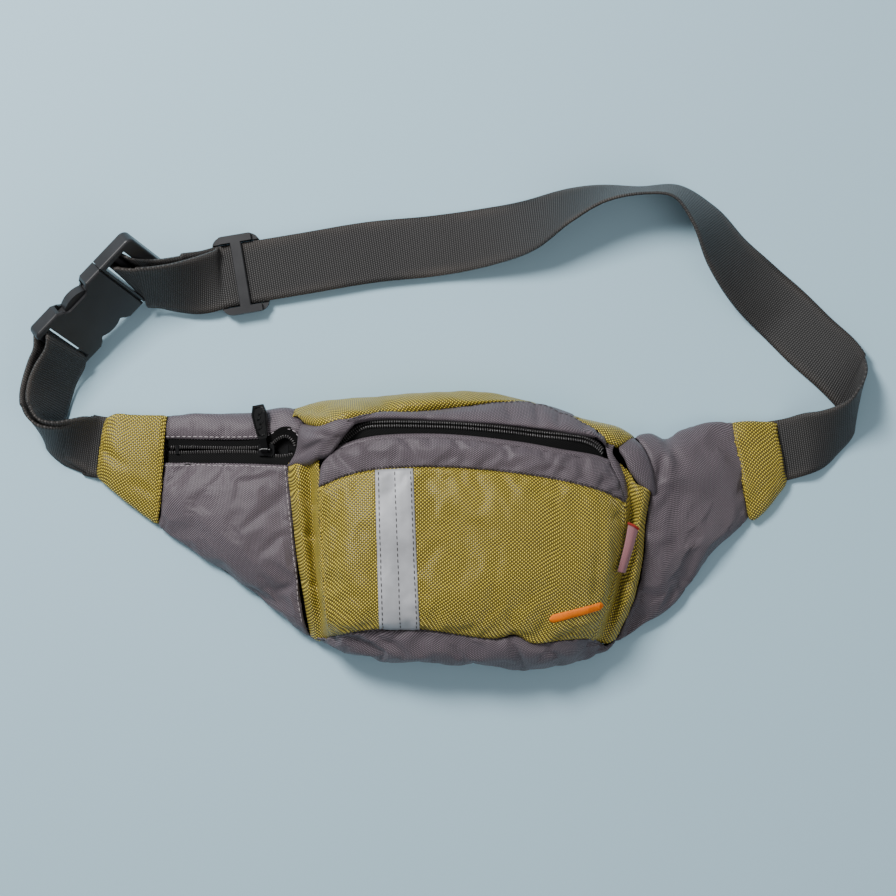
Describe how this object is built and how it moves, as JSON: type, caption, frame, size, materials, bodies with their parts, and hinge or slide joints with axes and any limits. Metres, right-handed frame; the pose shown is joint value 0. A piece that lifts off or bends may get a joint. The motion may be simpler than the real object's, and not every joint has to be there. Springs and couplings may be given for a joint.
{
  "type": "waist pack",
  "caption": "Waist pack with a zipped front pocket, a main compartment and a zipped wing pocket, on a webbing belt with a side-release buckle and a sliding strap adjuster.",
  "frame": {"origin": "on the outer face of the back panel, under the pack's middle; the pack lies on its back on Z = 0", "axes": "+Z from the back panel out through the front pocket, +X along the belt towards the strap's sewn end, +Y towards the pack's top edge"},
  "size_m": [0.5237, 0.2996, 0.0514],
  "materials": {
    "grey_nylon": "ripstop-like dobby weave, semi matt",
    "olive_nylon": "coarse ballistic weave, slight sheen",
    "foam": "open-cell foam",
    "lining": "thin coated lining",
    "zip_tape": "fine twill tape",
    "zip_coil": "glossy nylon coil",
    "zip_metal": "black lacquered die casting",
    "puller_plastic": "glossy black moulding",
    "reflective": "retroreflective tape, satin",
    "label": "woven ribbon",
    "embroidery": "satin stitch thread",
    "webbing": "woven nylon webbing",
    "buckle_plastic": "moulded acetal, fine satin"
  },
  "bodies": {
    "pack": {"back_foam": "foam", "back_lining": "lining", "back_panel": "grey_nylon", "bottom_gusset": "grey_nylon", "buckle_plug": "buckle_plastic", "embroidered_bar": "embroidery", "end_tab_left": "olive_nylon", "end_tab_right": "olive_nylon", "front_panel": "olive_nylon", "front_zip_coil": "zip_coil", "front_zip_stops": "zip_metal", "front_zip_tapes": "zip_tape", "main_zip_coil": "zip_coil", "main_zip_stops": "zip_metal", "main_zip_tapes": "zip_tape", "pocket_band": "grey_nylon", "pocket_divider": "lining", "pocket_top_strip": "grey_nylon", "reflective_strip": "reflective", "side_gusset_left": "olive_nylon", "side_gusset_right": "olive_nylon", "side_label": "label", "strap_left": "webbing", "top_panel": "olive_nylon", "waist_strap": "webbing", "wing_left": "grey_nylon", "wing_pocket_lining": "lining", "wing_right": "grey_nylon", "wing_zip_coil": "zip_coil", "wing_zip_stops": "zip_metal", "wing_zip_tapes": "zip_tape"},
    "wing_zip_slider_body": {"wing_zip_slider": "zip_metal"},
    "wing_zip_puller_body": {"wing_zip_puller": "puller_plastic"},
    "front_zip_slider_body": {"front_zip_slider": "zip_metal"},
    "front_zip_puller_body": {"front_zip_puller": "puller_plastic"},
    "main_zip_slider_body": {"main_zip_slider": "zip_metal"},
    "main_zip_puller_body": {"main_zip_puller": "puller_plastic"},
    "socket": {"buckle_socket": "buckle_plastic"},
    "prong_left_body": {"prong_left": "buckle_plastic"},
    "prong_right_body": {"prong_right": "buckle_plastic"},
    "adjuster": {"strap_adjuster": "buckle_plastic"}
  },
  "joints": [
    {"name": "wing_zip_slide", "type": "slide", "parent": "pack", "child": "wing_zip_slider_body", "axis": [0.9839, 0, 0.179], "range_m": [-0.048, 0.005]},
    {"name": "wing_zip_puller_swing", "type": "hinge", "parent": "wing_zip_slider_body", "child": "wing_zip_puller_body", "pos_m": [-0.1079, 0.05, 0.02312], "axis": [0.9839, 0, 0.179], "range_deg": [0, 160]},
    {"name": "front_zip_slide", "type": "slide", "parent": "pack", "child": "front_zip_slider_body", "axis": [0.999, -0.045, 0], "range_m": [0, 0.142]},
    {"name": "front_zip_puller_swing", "type": "hinge", "parent": "front_zip_slider_body", "child": "front_zip_puller_body", "pos_m": [-0.05601, 0.0681, 0.04183], "axis": [-0.5411, 0.7347, -0.4093], "range_deg": [0, 15]},
    {"name": "main_zip_slide", "type": "slide", "parent": "pack", "child": "main_zip_slider_body", "axis": [0.9987, -0.05, 0], "range_m": [-0.075, 0.004]},
    {"name": "main_zip_puller_swing", "type": "hinge", "parent": "main_zip_slider_body", "child": "main_zip_puller_body", "pos_m": [0.05794, 0.0616, 0.0182], "axis": [0.05, 0.9987, 0], "range_deg": [0, 8]},
    {"name": "buckle_release", "type": "slide", "parent": "pack", "child": "socket", "axis": [-0.6955, -0.7152, -0.0698], "range_m": [0, 0.034], "deforming": ["strap_left"]},
    {"name": "prong_left_squeeze", "type": "hinge", "parent": "pack", "child": "prong_left_body", "pos_m": [-0.21263, 0.15047, 0.04066], "axis": [0.5514, -0.5934, 0.5864], "range_deg": [0, 4], "stiffness_Nm_per_rad": 0.5},
    {"name": "prong_right_squeeze", "type": "hinge", "parent": "pack", "child": "prong_right_body", "pos_m": [-0.19742, 0.13828, 0.01403], "axis": [0.5514, -0.5934, 0.5864], "range_deg": [-4, 0], "stiffness_Nm_per_rad": 0.5},
    {"name": "adjuster_slide", "type": "slide", "parent": "pack", "child": "adjuster", "axis": [0.9863, 0.165, 0], "range_m": [0, 0.055]}
  ],
  "couplings": [
    {"joint": "prong_right_squeeze", "follows": "prong_left_squeeze", "ratio": -1}
  ]
}
